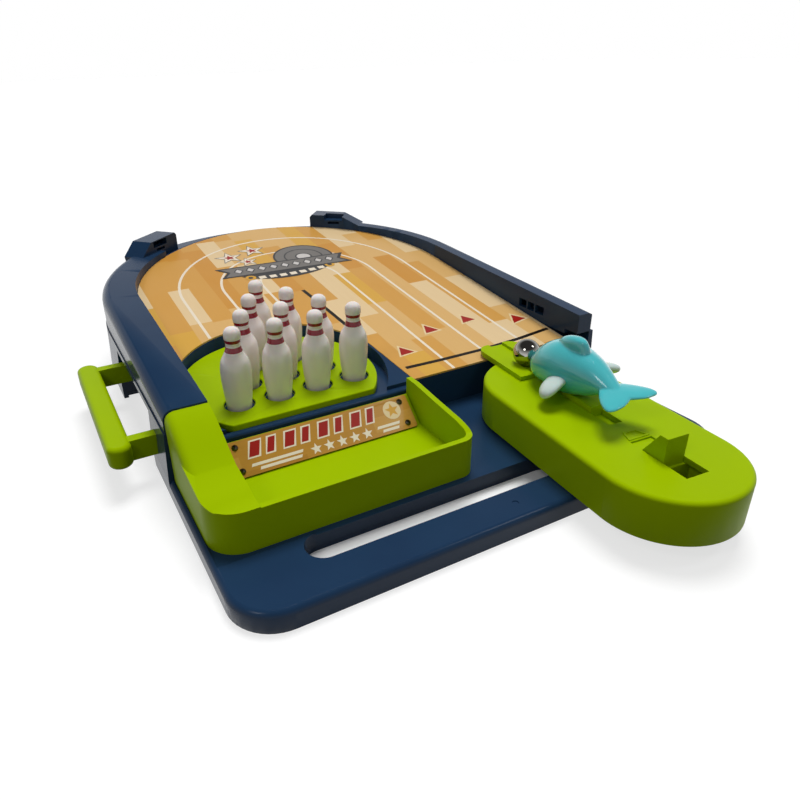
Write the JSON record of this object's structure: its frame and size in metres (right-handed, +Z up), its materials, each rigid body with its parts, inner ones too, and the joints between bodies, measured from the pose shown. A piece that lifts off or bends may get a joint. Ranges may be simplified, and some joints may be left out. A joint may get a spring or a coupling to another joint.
{
  "type": "table bowling game",
  "caption": "Table-top bowling game: sloping lane with a round back, pin deck, ball tray, pull handle at the side and a swivelling spring striker shaped like a dolphin",
  "frame": {"origin": "on the table, under the middle of the base's flat underside", "axes": "+Z up, +Y from the player's edge up the lane, +X to the player's right"},
  "size_m": [0.2395, 0.3663, 0.0635],
  "materials": {
    "navy_plastic": "moulded gloss navy",
    "lime_plastic": "moulded satin lime green",
    "zinc_steel": "zinc plated",
    "spring_steel": "drawn wire",
    "printed_board": "gloss printed board",
    "printed_plate": "gloss printed card",
    "pin_plastic": "gloss white",
    "turquoise_plastic": "pearl gloss",
    "pale_plastic": "gloss white",
    "polished_steel": "polished",
    "dark_plastic": "matt"
  },
  "bodies": {
    "base": {"base_shell": "navy_plastic", "bottom_plate": "navy_plastic", "bottom_screws": "zinc_steel", "upper_deck": "navy_plastic", "lane_sheet": "printed_board", "tray": "lime_plastic", "tray_screws": "zinc_steel", "ramp_plate": "printed_plate", "ramp_rivets": "zinc_steel", "pin_plate": "lime_plastic", "pivot_washer": "zinc_steel", "pivot_screw": "zinc_steel", "return_spring_front": "spring_steel", "return_spring_rear": "spring_steel"},
    "launcher": {"launcher_cover": "lime_plastic", "launcher_top": "lime_plastic", "launcher_screws": "zinc_steel", "striker_spring": "spring_steel"},
    "striker": {"carriage": "lime_plastic", "dolphin_body": "turquoise_plastic", "flippers": "pale_plastic"},
    "handle_slider": {"handle": "lime_plastic", "reset_bar": "dark_plastic", "slider_screws": "zinc_steel"},
    "ball_body": {"ball": "polished_steel"},
    "pin_body_1": {"pin_1": "pin_plastic"},
    "pin_body_2": {"pin_2": "pin_plastic"},
    "pin_body_3": {"pin_3": "pin_plastic"},
    "pin_body_4": {"pin_4": "pin_plastic"},
    "pin_body_5": {"pin_5": "pin_plastic"},
    "pin_body_6": {"pin_6": "pin_plastic"},
    "pin_body_7": {"pin_7": "pin_plastic"},
    "pin_body_8": {"pin_8": "pin_plastic"},
    "pin_body_9": {"pin_9": "pin_plastic"},
    "pin_body_10": {"pin_10": "pin_plastic"}
  },
  "joints": [
    {"name": "launcher_swivel", "type": "hinge", "parent": "base", "child": "launcher", "pos_m": [0.054, -0.108, 0.013], "axis": [0, 0, 1], "range_deg": [-3.7, 12.3]},
    {"name": "striker_slide", "type": "slide", "parent": "launcher", "child": "striker", "axis": [-0.075, -0.9972, 0], "range_m": [0, 0.0105], "stiffness_N_per_m": 120, "springref_m": -0.004, "deforming": ["striker_spring"]},
    {"name": "handle_slide", "type": "slide", "parent": "base", "child": "handle_slider", "axis": [-1, 0, 0], "range_m": [0, 0.018], "stiffness_N_per_m": 60, "springref_m": -0.005, "deforming": ["return_spring_front", "return_spring_rear"]},
    {"name": "ball_lift", "type": "slide", "parent": "launcher", "child": "ball_body", "axis": [0, 0, 1], "range_m": [0, 0.02]},
    {"name": "pin_lift_1", "type": "slide", "parent": "base", "child": "pin_body_1", "axis": [0, 0, 1], "range_m": [0, 0.03]},
    {"name": "pin_lift_2", "type": "slide", "parent": "base", "child": "pin_body_2", "axis": [0, 0, 1], "range_m": [0, 0.03]},
    {"name": "pin_lift_3", "type": "slide", "parent": "base", "child": "pin_body_3", "axis": [0, 0, 1], "range_m": [0, 0.03]},
    {"name": "pin_lift_4", "type": "slide", "parent": "base", "child": "pin_body_4", "axis": [0, 0, 1], "range_m": [0, 0.03]},
    {"name": "pin_lift_5", "type": "slide", "parent": "base", "child": "pin_body_5", "axis": [0, 0, 1], "range_m": [0, 0.03]},
    {"name": "pin_lift_6", "type": "slide", "parent": "base", "child": "pin_body_6", "axis": [0, 0, 1], "range_m": [0, 0.03]},
    {"name": "pin_lift_7", "type": "slide", "parent": "base", "child": "pin_body_7", "axis": [0, 0, 1], "range_m": [0, 0.03]},
    {"name": "pin_lift_8", "type": "slide", "parent": "base", "child": "pin_body_8", "axis": [0, 0, 1], "range_m": [0, 0.03]},
    {"name": "pin_lift_9", "type": "slide", "parent": "base", "child": "pin_body_9", "axis": [0, 0, 1], "range_m": [0, 0.03]},
    {"name": "pin_lift_10", "type": "slide", "parent": "base", "child": "pin_body_10", "axis": [0, 0, 1], "range_m": [0, 0.03]}
  ]
}
